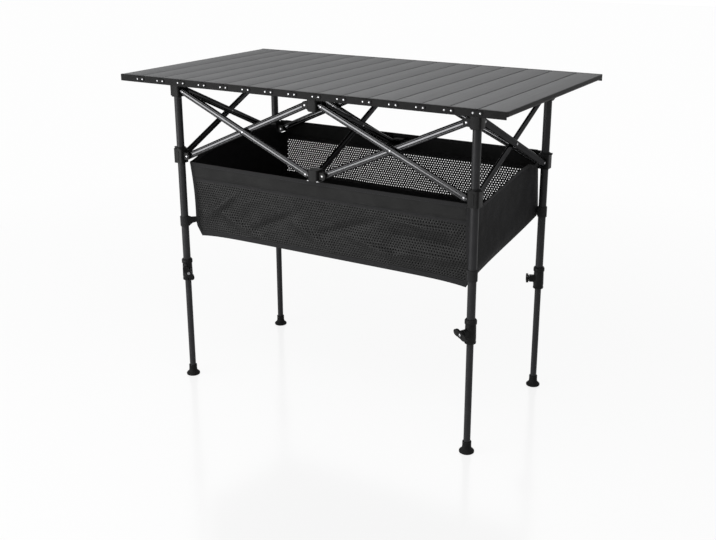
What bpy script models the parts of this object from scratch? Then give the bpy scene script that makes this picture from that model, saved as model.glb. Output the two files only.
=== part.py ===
"""Folding camp table with a roll-up slat top, a scissor frame and a fabric basket.

Every sub-part is one named closed solid at its real size, in metres, with +Z up. The origin is on the
ground under the middle of the table top. X runs along the long side, Y from front to back.
"""
import math

import bmesh
import bpy
from mathutils import Matrix, Vector

# Table top
TOP_LENGTH = 0.95
TOP_DEPTH = 0.55
TOP_HEIGHT = 0.76
SLAT_COUNT = 16
SLAT_THICK = 0.0105
SLAT_WALL = 0.0014
SLAT_GAP = 0.0005
LINK_THICK = 0.0018
LINK_LENGTH = 0.026
LINK_DROP = 0.0015
LINK_PAD_LOW = 0.8
LINK_PAD_TOP = 0.3

# Frame: the spacing is the same both ways, so every scissor folds by the same angle
BAY = 0.38
TOP_PIVOT_Z = TOP_HEIGHT - 0.043
LOW_PIVOT_Z = TOP_HEIGHT - 0.195
PIVOT_REACH = 0.021
BAR_HEIGHT = 0.016
BAR_THICK = 0.0072
BAR_SPLIT = 0.0004
BAR_FLANGE = 0.0022
BAR_WEB = 0.0016

# Hubs and their rivets
HUB_WIDTH = 0.025
HUB_CORNER = 0.003
HUB_TOP_LOW = TOP_HEIGHT - 0.053
SLIDER_HEIGHT = 0.034
HUB_PLATE_REACH = 0.017
HUB_PLATE_THICK = 0.003
EAR_THICK = 0.006
EAR_HEIGHT = 0.017
PIN_RADIUS = 0.0025
PIN_HOLE_RADIUS = 0.0031
PIN_HEAD_RADIUS = 0.0045
PIN_HEAD_THICK = 0.0012

# Legs
UPPER_RADIUS = 0.009
LOWER_RADIUS = 0.0075
TUBE_WALL = 0.0012
UPPER_TOP_Z = TOP_HEIGHT - 0.0175
LOWER_TOP_Z = 0.360
CLAMP_LOW_Z = 0.254
CLAMP_TOP_Z = 0.308
CLAMP_RADIUS = 0.013
CLAMP_CHAMFER = 0.0015
BOSS_HALF_WIDTH = 0.0075
BOSS_HALF_HEIGHT = 0.008
KNOB_Z = 0.278
KNOB_REACH = 0.022
KNOB_DISC_RADIUS = 0.008
KNOB_DISC_THICK = 0.0066
KNOB_LOBE_RADIUS = 0.0065
KNOB_LOBE_SPREAD = 0.0125
KNOB_LOBE_LIFT = 0.002
KNOB_LOBE_THICK = 0.0055
STUD_RADIUS = 0.0029
STUD_HOLE_RADIUS = 0.0034
FOOT_RADIUS = 0.0165
FOOT_NECK_RADIUS = 0.010
FOOT_HEIGHT = 0.026
FOOT_SOLE = 0.0065
FOOT_CHAMFER = 0.0015
FOOT_RIM_LOW_Z = 0.002
FOOT_RIM_TOP_Z = 0.0045
FOOT_FLARE_Z = 0.009
FOOT_NECK_Z = 0.014

# Basket: it hangs inside the frame, but its higher back wall hangs behind the back hubs.
# Its bottom rises towards the back.
BASKET_INSET = 0.024
BASKET_BACK_Y = BAY / 2 + 0.0165
BASKET_TOP_Z = LOW_PIVOT_Z - 0.0185
BASKET_BACK_TOP_Z = LOW_PIVOT_Z + 0.020
BASKET_LOW_Z = 0.368
BASKET_BACK_LIFT = 0.064
BASKET_WALL = 0.002
BASKET_CORNER = 0.012

# Fits and facets
GAP = 0.0003
TUBE_SIDES = 16
PIN_SIDES = 10

SLAT_PITCH = TOP_LENGTH / SLAT_COUNT
HUB_TOP_Z = TOP_HEIGHT - SLAT_THICK - GAP
BAR_RUN = BAY - 2 * PIVOT_REACH
BAR_RISE = TOP_PIVOT_Z - LOW_PIVOT_Z
BAR_LENGTH = math.hypot(BAR_RUN, BAR_RISE)
BAR_ANGLE = math.atan2(BAR_RISE, BAR_RUN)
BAR_OUTER = BAR_SPLIT + BAR_THICK
PIN_REACH = BAR_OUTER + GAP + PIN_HEAD_THICK

# Plan of the frame: each hub's place, which way its knob points in degrees from +X, and the knob's tilt
CORNERS = {
    "front_left": (-BAY, -BAY / 2, -45.0, 32.0),
    "front_right": (BAY, -BAY / 2, 245.0, 77.0),
    "back_right": (BAY, BAY / 2, 202.5, 90.0),
    "back_left": (-BAY, BAY / 2, 135.0, 40.0),
}
CENTRES = {"front_centre": (0.0, -BAY / 2), "back_centre": (0.0, BAY / 2)}

# Scissors: near hub, far hub. The down bar runs from the near hub's top to the far hub's bottom.
SCISSORS = {
    "front_left": ("front_centre", "front_left"),
    "front_right": ("front_centre", "front_right"),
    "middle": ("front_centre", "back_centre"),
    "back_left": ("back_centre", "back_left"),
    "back_right": ("back_centre", "back_right"),
    "left_side": ("front_left", "back_left"),
    "right_side": ("front_right", "back_right"),
}


def clear_scene():
    for old in list(bpy.data.objects):
        bpy.data.objects.remove(old)


def material(name, colour, roughness, metallic):
    made = bpy.data.materials.new(name)
    made.use_nodes = True
    shader = made.node_tree.nodes["Principled BSDF"]
    shader.inputs["Base Color"].default_value = (*colour, 1.0)
    shader.inputs["Roughness"].default_value = roughness
    shader.inputs["Metallic"].default_value = metallic
    return made


def finish_mesh(bm, name):
    """Turn a bmesh into a mesh with its faces pointing out."""
    bmesh.ops.recalc_face_normals(bm, faces=bm.faces)
    mesh = bpy.data.meshes.new(name)
    bm.to_mesh(mesh)
    bm.free()
    return mesh


def box(low, high):
    """A block between two corners."""
    bm = bmesh.new()
    size = [top - bottom for bottom, top in zip(low, high)]
    middle = [(top + bottom) / 2 for bottom, top in zip(low, high)]
    bmesh.ops.create_cube(bm, size=1.0, matrix=Matrix.Translation(middle) @ Matrix.Diagonal((*size, 1.0)))
    return finish_mesh(bm, "block")


def prism(outline, low, high, turn=None):
    """An outline in X and Y, extruded along Z and then turned by a matrix."""
    bm = bmesh.new()
    face = bm.faces.new([bm.verts.new((x, y, low)) for x, y in outline])
    raised = bmesh.ops.extrude_face_region(bm, geom=[face])["geom"]
    moved = [item for item in raised if isinstance(item, bmesh.types.BMVert)]
    bmesh.ops.translate(bm, verts=moved, vec=(0, 0, high - low))
    if turn:
        bmesh.ops.transform(bm, verts=bm.verts, matrix=turn)
    return finish_mesh(bm, "prism")


def rod(start, end, radius, sides):
    """A round bar between two points."""
    start, end = Vector(start), Vector(end)
    turn = (end - start).to_track_quat("Z", "Y").to_matrix().to_4x4()
    bm = bmesh.new()
    bmesh.ops.create_cone(bm, cap_ends=True, segments=sides, radius1=radius, radius2=radius,
                          depth=(end - start).length, matrix=Matrix.Translation((start + end) / 2) @ turn)
    return finish_mesh(bm, "rod")


def turned(profile, ring):
    """A profile of (radius, height) spun round Z. A ring closes on itself, else it ends on the axis."""
    bm = bmesh.new()
    verts = [bm.verts.new((radius, 0, height)) for radius, height in profile]
    pairs = list(zip(verts, verts[1:]))
    if ring:
        pairs.append((verts[-1], verts[0]))
    edges = [bm.edges.new(pair) for pair in pairs]
    bmesh.ops.spin(bm, geom=verts + edges, cent=(0, 0, 0), axis=(0, 0, 1), angle=math.tau,
                   steps=TUBE_SIDES, use_merge=True)
    bmesh.ops.remove_doubles(bm, verts=bm.verts, dist=1e-6)
    return finish_mesh(bm, "turned")


def rounded_rectangle(half_x, half_y, radius, steps):
    """Corner points of a rectangle with rounded corners, anticlockwise."""
    points = []
    for quarter, (sign_x, sign_y) in enumerate(((1, 1), (-1, 1), (-1, -1), (1, -1))):
        for step in range(steps + 1):
            angle = math.pi / 2 * (quarter + step / steps)
            points.append((sign_x * (half_x - radius) + radius * math.cos(angle),
                           sign_y * (half_y - radius) + radius * math.sin(angle)))
    return points


def combine(base, joined=(), cut=()):
    """One closed mesh: the base with some meshes united with it, then others cut out of it."""
    host = bpy.data.objects.new("host", base)
    tools = []
    for operation, meshes in (("UNION", joined), ("DIFFERENCE", cut)):
        for mesh in meshes:
            tool = bpy.data.objects.new("tool", mesh)
            modifier = host.modifiers.new(operation, "BOOLEAN")
            modifier.operation = operation
            modifier.object = tool
            tools.append(tool)
    for item in [host] + tools:
        bpy.context.scene.collection.objects.link(item)
    evaluated = host.evaluated_get(bpy.context.evaluated_depsgraph_get())
    result = bpy.data.meshes.new_from_object(evaluated)
    for item in [host] + tools:
        bpy.data.objects.remove(item)
    return result


def pivot_empty(name, place):
    """An empty on the axis that a group of pieces turns about."""
    empty = bpy.data.objects.new(name, None)
    empty.location = place
    empty.empty_display_size = 0.02
    bpy.context.scene.collection.objects.link(empty)
    return empty


def piece(name, mesh, finish, place, turn=(0, 0, 0), parent=None):
    """One named sub-part, at a world place, under its parent."""
    made = bpy.data.objects.new(name, mesh)
    if not mesh.materials:
        mesh.materials.append(finish)
    made.parent = parent
    made.location = Vector(place) - (parent.location if parent else Vector())
    made.rotation_euler = turn
    bpy.context.scene.collection.objects.link(made)
    return made


def smooth(mesh, degrees=35):
    mesh.shade_smooth()
    mesh.set_sharp_from_angle(angle=math.radians(degrees))
    return mesh


def slat_tray():
    """A slat: a shallow channel open below, with closed ends. Its hinge edge is at X = 0, top at Z = 0."""
    half = TOP_DEPTH / 2 - LINK_THICK - GAP
    base = box((SLAT_GAP / 2, -half, -SLAT_THICK), (SLAT_PITCH - SLAT_GAP / 2, half, 0))
    bm = bmesh.new()
    bm.from_mesh(base)
    bottom = min(bm.faces, key=lambda face: face.calc_center_median().z)
    bmesh.ops.inset_region(bm, faces=[bottom], thickness=SLAT_WALL)
    bmesh.ops.translate(bm, verts=bottom.verts, vec=(0, 0, SLAT_THICK - SLAT_WALL))
    return finish_mesh(bm, "slat")


def slat_with_links():
    """A slat with the link plate at each end that reaches over the next slat's end."""
    outer = TOP_DEPTH / 2
    inner = outer - LINK_THICK
    pads = []
    plates = []
    for side in (-1, 1):
        ends = sorted((side * inner, side * outer))
        plates.append(box((SLAT_PITCH - LINK_LENGTH / 2, ends[0], -SLAT_THICK),
                          (SLAT_PITCH + LINK_LENGTH / 2, ends[1], -LINK_DROP)))
        ends = sorted((side * (inner - GAP - SLAT_WALL / 2), side * (inner + LINK_THICK / 2)))
        pads.append(box((SLAT_PITCH - LINK_LENGTH / 3, ends[0], -SLAT_THICK * LINK_PAD_LOW),
                        (SLAT_PITCH - LINK_LENGTH / 8, ends[1], -SLAT_THICK * LINK_PAD_TOP)))
    return combine(slat_tray(), pads + plates)


def make_top(finish):
    """The slats, each one hung on the last, so that the top rolls up from its right end."""
    linked = slat_with_links()
    plain = slat_tray()
    parent = pivot_empty("top_lift", (-TOP_LENGTH / 2, 0, TOP_HEIGHT))
    for index in range(SLAT_COUNT):
        mesh = plain if index == SLAT_COUNT - 1 else linked
        slat = bpy.data.objects.new(f"slat_{index + 1:02d}", mesh)
        if not mesh.materials:
            mesh.materials.append(finish)
        slat.parent = parent
        slat.location = (SLAT_PITCH, 0, 0) if index else (0, 0, 0)
        bpy.context.scene.collection.objects.link(slat)
        parent = slat


def bar_mesh(side, middle):
    """A scissor bar along X with its middle at the given X, on one side of the scissor's mid plane.

    Side -1 is the down bar, which carries the middle rivet. Side 1 is the up bar, which has its hole.
    """
    half = BAR_LENGTH / 2
    radius = BAR_HEIGHT / 2
    steps = 8
    right = [(middle + half + radius * math.cos(a), radius * math.sin(a))
             for a in (math.pi * (step / steps - 0.5) for step in range(steps + 1))]
    left = [(2 * middle - x, -z) for x, z in right]
    upright = Matrix.Rotation(math.pi / 2, 4, "X")
    near, far = sorted((-side * BAR_SPLIT, -side * BAR_OUTER))
    body = prism(right + left, near, far, upright)

    floor = side * (BAR_OUTER - BAR_WEB)
    mouth = -side * 0.001
    web = radius - BAR_FLANGE
    cuts = []
    for end in (-1, 1):
        span = sorted((middle + end * (radius + BAR_WEB * 2), middle + end * (half - 2 * radius)))
        cuts.append(box((span[0], min(floor, mouth), -web), (span[1], max(floor, mouth), web)))
    holes = [middle - half, middle + half] + ([middle] if side > 0 else [])
    cuts += [rod((x, -0.02, 0), (x, 0.02, 0), PIN_HOLE_RADIUS, PIN_SIDES) for x in holes]
    joined = rivet((middle, -BAR_OUTER / 2, 0), Vector((0, 1, 0)), BAR_OUTER / 2) if side < 0 else ()
    return smooth(combine(body, joined, cuts))


def rivet(root, along, sunk):
    """A rivet from inside its carrier, out through the neighbouring bar, with a flat head."""
    root = Vector(root)
    mid_plane = root + along * sunk
    tip = mid_plane + along * PIN_REACH
    head = mid_plane + along * (BAR_OUTER + GAP)
    shank_end = mid_plane + along * (BAR_OUTER + GAP + PIN_HEAD_THICK / 2)
    return (rod(root, shank_end, PIN_RADIUS, PIN_SIDES), rod(head, tip, PIN_HEAD_RADIUS, PIN_SIDES))


def ear_parts(direction, bar_side, pivot_z):
    """The ear of a hub towards one bar, and the rivet that the bar turns on."""
    direction = Vector(direction)
    bar_side = Vector(bar_side)
    corners = [Vector((0, 0, 0)), direction * (PIVOT_REACH + BAR_HEIGHT / 2) - bar_side * EAR_THICK]
    low = [min(corner[axis] for corner in corners) for axis in (0, 1)]
    high = [max(corner[axis] for corner in corners) for axis in (0, 1)]
    ear = box((*low, pivot_z - EAR_HEIGHT / 2), (*high, pivot_z + EAR_HEIGHT / 2))
    root = direction * PIVOT_REACH - bar_side * (EAR_THICK / 2) + Vector((0, 0, pivot_z))
    return (ear, *rivet(root, bar_side, EAR_THICK / 2))


def scissor_frame(name):
    """A scissor's near hub place, far hub place, direction between them and side of its up bar."""
    places = {**{hub: Vector(plan[:2]) for hub, plan in CORNERS.items()},
              **{hub: Vector(plan) for hub, plan in CENTRES.items()}}
    near, far = (places[hub].to_3d() for hub in SCISSORS[name])
    direction = (far - near).normalized()
    side = Vector((0, 0, 1)).cross(direction)
    return near, far, direction, side


def ears_of(hub, level):
    """The ears of one hub at its top or its bottom, as directions and bar sides."""
    ears = []
    for name, (near, far) in SCISSORS.items():
        if hub not in (near, far):
            continue
        direction, side = scissor_frame(name)[2:]
        towards = direction if hub == near else -direction
        on_down_bar = (hub == near) == (level == "top")
        ears.append((towards, -side if on_down_bar else side))
    return ears


def hub_mesh(hub, level, low, high, bore_top=None, base=None):
    """A moulded hub round its leg or on its own, with an ear and a rivet for each bar."""
    pivot_z = TOP_PIVOT_Z if level == "top" else LOW_PIVOT_Z
    half = HUB_WIDTH / 2
    block = prism(rounded_rectangle(half, half, HUB_CORNER, 2), low, high)
    joined = [part for ear in ears_of(hub, level) for part in ear_parts(*ear, pivot_z)]
    if base:
        joined.append(base)
    cut = []
    if bore_top is not None:
        cut.append(rod((0, 0, low - SLIDER_HEIGHT), (0, 0, bore_top), UPPER_RADIUS + GAP, TUBE_SIDES))
    return smooth(combine(block, joined, cut))


def upper_leg_mesh():
    """The upper tube with its clamp collar and the boss that takes the knob's stud, knob towards +X."""
    bore = UPPER_RADIUS - TUBE_WALL
    rim = CLAMP_RADIUS - CLAMP_CHAMFER
    tube = turned([
        (bore, UPPER_TOP_Z), (bore, CLAMP_LOW_Z), (rim, CLAMP_LOW_Z),
        (CLAMP_RADIUS, CLAMP_LOW_Z + CLAMP_CHAMFER), (CLAMP_RADIUS, CLAMP_TOP_Z - 2 * CLAMP_CHAMFER),
        (rim, CLAMP_TOP_Z), (UPPER_RADIUS, CLAMP_TOP_Z), (UPPER_RADIUS, UPPER_TOP_Z),
    ], ring=True)
    boss = box((UPPER_RADIUS + CLAMP_CHAMFER, -BOSS_HALF_WIDTH, KNOB_Z - BOSS_HALF_HEIGHT),
               (KNOB_REACH, BOSS_HALF_WIDTH, KNOB_Z + BOSS_HALF_HEIGHT))
    stud_hole = rod((UPPER_RADIUS + GAP, 0, KNOB_Z), (2 * KNOB_REACH, 0, KNOB_Z),
                    STUD_HOLE_RADIUS, PIN_SIDES)
    return smooth(combine(tube, [boss], [stud_hole]))


def lower_leg_mesh():
    inner = LOWER_RADIUS - TUBE_WALL
    foot_floor = FOOT_SOLE + GAP
    return smooth(turned([(inner, LOWER_TOP_Z), (inner, foot_floor), (LOWER_RADIUS, foot_floor),
                          (LOWER_RADIUS, LOWER_TOP_Z)], ring=True))


def foot_mesh():
    """A flared rubber foot with a blind socket for the tube."""
    socket = LOWER_RADIUS + GAP
    flare = (FOOT_RADIUS + FOOT_NECK_RADIUS) / 2
    return smooth(turned([
        (0, 0), (FOOT_RADIUS - FOOT_CHAMFER, 0), (FOOT_RADIUS, FOOT_RIM_LOW_Z),
        (FOOT_RADIUS, FOOT_RIM_TOP_Z), (flare, FOOT_FLARE_Z), (FOOT_NECK_RADIUS, FOOT_NECK_Z),
        (FOOT_NECK_RADIUS, FOOT_HEIGHT), (socket, FOOT_HEIGHT), (socket, FOOT_SOLE), (0, FOOT_SOLE),
    ], ring=False))


def knob_mesh():
    """A butterfly knob on a threaded stud, with its axis along +X from the leg's own axis."""
    face = KNOB_REACH + GAP
    lobe_low = face + KNOB_LOBE_LIFT
    lobe_top = lobe_low + KNOB_LOBE_THICK
    stud = rod((UPPER_RADIUS + 3 * GAP, 0, 0), (face + KNOB_DISC_THICK / 2, 0, 0), STUD_RADIUS, PIN_SIDES)
    disc = rod((face, 0, 0), (face + KNOB_DISC_THICK, 0, 0), KNOB_DISC_RADIUS, TUBE_SIDES)
    wings = [rod((lobe_low, 0, height), (lobe_top, 0, height), KNOB_LOBE_RADIUS, TUBE_SIDES)
             for height in (-KNOB_LOBE_SPREAD, KNOB_LOBE_SPREAD)]
    waist = KNOB_LOBE_RADIUS * 0.7
    bridge = box((lobe_low + GAP / 3, -waist, -KNOB_LOBE_SPREAD), (lobe_top - GAP / 3, waist, KNOB_LOBE_SPREAD))
    return smooth(combine(disc, [bridge, *wings, stud]))


def basket_outline(inset):
    """The basket's plan, set in from its outer face."""
    half_x = BAY - BASKET_INSET - inset
    front = -BAY / 2 + BASKET_INSET + inset
    back = BASKET_BACK_Y - inset
    centre = (front + back) / 2
    corners = rounded_rectangle(half_x, (back - front) / 2, BASKET_CORNER - inset, 3)
    return [(x, y + centre) for x, y in corners]


def slope_bottom(mesh):
    """Raise the lower half's points towards the back, so that the bottom slopes."""
    front = -BAY / 2 + BASKET_INSET
    for vertex in mesh.vertices:
        if vertex.co.z < (BASKET_LOW_Z + BASKET_TOP_Z) / 2:
            vertex.co.z += BASKET_BACK_LIFT * (vertex.co.y - front) / (BASKET_BACK_Y - front)
    return mesh


def basket_mesh():
    """The basket as one open-topped shell between the legs, with a higher band along its back wall."""
    outer = slope_bottom(prism(basket_outline(0), BASKET_LOW_Z, BASKET_BACK_TOP_Z))
    inner = slope_bottom(prism(basket_outline(BASKET_WALL), BASKET_LOW_Z + BASKET_WALL, TOP_HEIGHT))
    band_x = BAY - BASKET_INSET - BASKET_CORNER
    band_y = BASKET_BACK_Y - 2 * BASKET_WALL
    round_band = [(-BAY, -BAY), (BAY, -BAY), (BAY, BAY), (band_x, BAY), (band_x, band_y),
                  (-band_x, band_y), (-band_x, BAY), (-BAY, BAY)]
    return combine(outer, cut=[inner, prism(round_band, BASKET_TOP_Z, TOP_HEIGHT)])


def make_corner(corner, finishes, meshes):
    """A leg: hub, upper tube with clamp, lower tube, foot and knob, and the slider on the tube."""
    x, y, knob_heading, knob_tilt = CORNERS[corner]
    towards = -1 if x > 0 else 1
    leg = pivot_empty(f"{corner}_leg_pivot", (x + towards * PIVOT_REACH, y, TOP_PIVOT_Z))
    slider = pivot_empty(f"{corner}_slider_pivot", (x + towards * PIVOT_REACH, y, LOW_PIVOT_Z))
    heading = math.radians(knob_heading)
    tilt = math.radians(knob_tilt)
    hub = hub_mesh(corner, "top", HUB_TOP_LOW, HUB_TOP_Z, UPPER_TOP_Z + GAP)
    slide_low = LOW_PIVOT_Z - SLIDER_HEIGHT / 2
    slide_top = slide_low + SLIDER_HEIGHT
    sleeve = hub_mesh(corner, "low", slide_low, slide_top, slide_top + SLIDER_HEIGHT)
    piece(f"{corner}_top_hub", hub, finishes["plastic"], (x, y, 0), parent=leg)
    piece(f"{corner}_slider", sleeve, finishes["plastic"], (x, y, 0), parent=slider)
    piece(f"{corner}_upper_leg", meshes["upper"], finishes["tube"], (x, y, 0), (0, 0, heading), leg)
    piece(f"{corner}_lower_leg", meshes["lower"], finishes["tube"], (x, y, 0), parent=leg)
    piece(f"{corner}_foot", meshes["foot"], finishes["rubber"], (x, y, 0), parent=leg)
    piece(f"{corner}_wing_knob", meshes["knob"], finishes["plastic"], (x, y, KNOB_Z), (tilt, 0, heading), leg)


def make_centre(centre, finish):
    """The top and bottom hubs in the middle of a long side."""
    x, y = CENTRES[centre]
    half = SLIDER_HEIGHT / 2
    base_z = LOW_PIVOT_Z - half
    plate = box((-HUB_PLATE_REACH, -HUB_WIDTH / 2 + GAP, base_z),
                (HUB_PLATE_REACH, HUB_WIDTH / 2 - GAP, base_z + HUB_PLATE_THICK))
    top = hub_mesh(centre, "top", HUB_TOP_LOW, HUB_TOP_Z)
    block_low = base_z + HUB_PLATE_THICK / 2
    bottom = hub_mesh(centre, "low", block_low, LOW_PIVOT_Z + half - HUB_PLATE_THICK / 2, base=plate)
    piece(f"{centre}_top_hub", top, finish, (x, y, 0))
    lower = pivot_empty(f"{centre}_lower_pivot", (x, y, LOW_PIVOT_Z))
    piece(f"{centre}_lower_hub", bottom, finish, (x, y, 0), parent=lower)


def make_scissor(name, finish, down_mesh, up_mesh):
    """The two crossed bars between neighbouring hubs."""
    near, far, direction, _ = scissor_frame(name)
    yaw = math.atan2(direction.y, direction.x)
    near_top = near + direction * PIVOT_REACH + Vector((0, 0, TOP_PIVOT_Z))
    middle = (near + far) / 2 + Vector((0, 0, (TOP_PIVOT_Z + LOW_PIVOT_Z) / 2))
    piece(f"{name}_down_bar", down_mesh, finish, near_top, (0, BAR_ANGLE, yaw))
    piece(f"{name}_up_bar", up_mesh, finish, middle, (0, -BAR_ANGLE, yaw))


def main():
    clear_scene()
    finishes = {
        "slat": material("slat_grey", (0.20, 0.20, 0.20), 0.55, 0.3),
        "tube": material("tube_dark_grey", (0.045, 0.045, 0.047), 0.40, 0.6),
        "bar": material("bar_dark_grey", (0.050, 0.050, 0.052), 0.35, 0.6),
        "plastic": material("black_plastic", (0.012, 0.012, 0.012), 0.45, 0.0),
        "rubber": material("black_rubber", (0.015, 0.015, 0.015), 0.75, 0.0),
        "fabric": material("black_fabric", (0.018, 0.018, 0.018), 0.90, 0.0),
    }
    meshes = {"upper": upper_leg_mesh(), "lower": lower_leg_mesh(), "foot": foot_mesh(), "knob": knob_mesh()}
    down_mesh = bar_mesh(-1, BAR_LENGTH / 2)
    up_mesh = bar_mesh(1, 0.0)
    make_top(finishes["slat"])
    for corner in CORNERS:
        make_corner(corner, finishes, meshes)
    for centre in CENTRES:
        make_centre(centre, finishes["plastic"])
    for name in SCISSORS:
        make_scissor(name, finishes["bar"], down_mesh, up_mesh)
    piece("storage_basket", basket_mesh(), finishes["fabric"], (0, 0, 0))


main()
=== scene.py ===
"""Looks of the folding camp table, piece by piece round its CAD frame."""
from math import atan2, copysign, cos, exp, hypot, pi, radians, sin, sqrt, tau

import bmesh
import bpy
from mathutils import Matrix, Vector


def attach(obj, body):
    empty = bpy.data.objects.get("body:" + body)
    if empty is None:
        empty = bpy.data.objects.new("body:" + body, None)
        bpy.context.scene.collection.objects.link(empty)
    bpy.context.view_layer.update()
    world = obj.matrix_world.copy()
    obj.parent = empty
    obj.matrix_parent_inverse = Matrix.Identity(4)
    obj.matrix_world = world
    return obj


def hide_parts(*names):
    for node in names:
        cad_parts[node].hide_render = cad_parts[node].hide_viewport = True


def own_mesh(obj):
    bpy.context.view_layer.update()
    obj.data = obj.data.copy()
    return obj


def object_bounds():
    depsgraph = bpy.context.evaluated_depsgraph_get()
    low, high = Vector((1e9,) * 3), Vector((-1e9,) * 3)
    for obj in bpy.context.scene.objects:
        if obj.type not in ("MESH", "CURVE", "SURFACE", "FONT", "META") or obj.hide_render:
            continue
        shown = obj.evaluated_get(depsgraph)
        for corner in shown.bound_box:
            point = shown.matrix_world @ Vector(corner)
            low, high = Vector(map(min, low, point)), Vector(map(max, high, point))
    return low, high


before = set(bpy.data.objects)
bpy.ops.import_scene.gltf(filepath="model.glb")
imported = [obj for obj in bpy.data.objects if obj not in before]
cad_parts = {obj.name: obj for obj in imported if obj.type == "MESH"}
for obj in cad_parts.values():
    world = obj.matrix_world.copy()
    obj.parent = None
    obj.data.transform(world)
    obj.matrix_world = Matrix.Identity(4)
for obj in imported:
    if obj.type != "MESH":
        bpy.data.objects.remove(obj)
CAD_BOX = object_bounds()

MM = 0.001
SHARP_ANGLE = 32

# Camera from the photograph's perspective, and how bright the floor and the world are
CAMERA_PLACE = Vector((1.1741, -1.946, 1.092))
CAMERA_AZIMUTH = radians(31.2612)
CAMERA_ELEVATION = radians(17.4143)
CAMERA_ROLL = radians(-0.1546)
CAMERA_LENS = 50.215
CAMERA_SHIFT_Y = -36 / 716
FLOOR_GLOW = 0.92
WORLD_LIGHT = 0.42

# Table top
TOP_Z = CAD_BOX[1].z
SLAT_COUNT = 16
SLAT_LEFT = CAD_BOX[0].x
SLAT_PITCH = (CAD_BOX[1].x - CAD_BOX[0].x) / SLAT_COUNT
TOP_HALF_DEPTH = CAD_BOX[1].y
CAP_FACE_Y = TOP_HALF_DEPTH - 2.1 * MM
CAP_INNER_Y = TOP_HALF_DEPTH - 8.5 * MM
CAP_DEPTH = 15.0 * MM
CAP_WALL = 2.4 * MM
CAP_SHELF = 10.4 * MM
CAP_GAP = 0.4 * MM
LINK_Z = TOP_Z - 7.2 * MM
LINK_RIVET_X = 7.3 * MM
# Half length, half height and corner radius of a link plate, then radius, height and sink of its rivets
LINK_OUTLINE = (12.4 * MM, 4.6 * MM, 4.4 * MM)
LINK_DOME = (2.1 * MM, 0.88 * MM, 0.2 * MM)
LINK_THICK = 1.2 * MM
RAIL_LOW = 10.3 * MM
RAIL_PROUD = 0.5 * MM
RAIL_INNER = 1.55 * MM

# Frame
BAY = 0.38
PIVOT_REACH = 0.021
TOP_PIVOT_Z = TOP_Z - 0.043
LOW_PIVOT_Z = TOP_Z - 0.195
BAR_RADIUS = 0.008
BAR_INNER = 0.0004
BAR_OUTER = 0.0076
LAND_HALF = 2.5 * MM
FLUTE_AT = 3.5 * MM
FLUTE_HALF = 0.6 * MM
FLUTE_DEPTH = 0.5 * MM
HUB_HALF = 0.0125
EAR_THICK = 0.006
EAR_RADIUS = 0.0085
HUB_TOP_Z = TOP_Z - 0.0108
HUB_TOP_LOW = TOP_Z - 0.053
SLIDER_HALF = 0.017
CENTRE_HALF = 0.0125
HUB_RIVET = 2.9 * MM

# Legs
UPPER_RADIUS = 0.009
LOWER_RADIUS = 0.0075
TUBE_WALL = 1.2 * MM
UPPER_TOP_Z = TOP_Z - 0.0176
LOWER_TOP_Z = 0.36
LOWER_LOW_Z = 0.0068
LOCK_LOW_Z = 0.254
LOCK_TOP_Z = 0.308
KNOB_Z = 0.278
KNOB_FACE = 0.0223
KNOB_WAIST = 6.2 * MM
KNOB_WING = 14.0 * MM
LOOP_HALF = 12 * MM
LOOP_THICK = 0.8 * MM
LOOP_RADIUS = UPPER_RADIUS + 1.2 * MM
LOOP_OPENING = radians(38)
STRAP_HALF = 7 * MM
TAB_HALF = 11 * MM

# Basket: the front wall leans, the rear wall stands upright, and the bottom rises to the back
BAND_TOP_Z = 0.5474
REAR_TOP_Z = 0.585
HEM_Z = 0.3700
HEM_LIFT = 0.0635
FRONT_TOP_Y = -0.1765
FRONT_LOW_Y = -0.1610
REAR_Y = 0.2046
FRONT_BAND = 40 * MM
REAR_BAND = 44 * MM
FRONT_X = 0.3655
FRONT_CORNER_CUT = 15 * MM
REAR_TOP_X = 0.3565
REAR_LOW_X = 0.3640
FRONT_DEPTH = BAND_TOP_Z - HEM_Z
REAR_DEPTH = REAR_TOP_Z - HEM_Z - HEM_LIFT
SIDE_LENGTH = REAR_Y - FRONT_TOP_Y
NET_PITCH = 6.6 * MM
NET_HOLE = 0.38
NET_THICK = 0.5 * MM
CLOTH_THICK = 0.9 * MM
GRID_STEP = 0.012
STITCH_PITCH = 4.2 * MM
STITCH_LONG = 2.7 * MM
LOOP_Z = {-1: 0.403, 1: 0.444}
FLOOR_CUT = 0.131
FLOOR_STRIP = 0.100
FLOOR_LAP = 3 * MM
# Step in height from one piece of the floor to the next, in millimetres
FLOOR_DROP = 1.3

# Place in plan, then the heading of the corner's knob and the turn of the knob's wings
CORNERS = {
    "front_left": (-BAY, -BAY / 2, radians(-45), radians(32)),
    "front_right": (BAY, -BAY / 2, radians(245), radians(77)),
    "back_right": (BAY, BAY / 2, radians(202.5), radians(90)),
    "back_left": (-BAY, BAY / 2, radians(135), radians(40)),
}
CENTRES = {"front_centre": (0, -BAY / 2), "back_centre": (0, BAY / 2)}
# Near and far hub of each crossed pair of bars
SCISSORS = {
    "front_left": ("front_centre", "front_left"),
    "front_right": ("front_centre", "front_right"),
    "middle": ("front_centre", "back_centre"),
    "back_left": ("back_centre", "back_left"),
    "back_right": ("back_centre", "back_right"),
    "left_side": ("front_left", "back_left"),
    "right_side": ("front_right", "back_right"),
}
X, Y, Z = (1, 0, 0), (0, 1, 0), (0, 0, 1)
UP = Vector(Z)
SHEEN = {"Sheen_Weight": 0.03, "Sheen_Roughness": 0.5}


# Node materials


def grey(value, blue=None):
    """A grey colour, with a blue of its own where one is given."""
    return (value, value, value if blue is None else blue)


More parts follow.
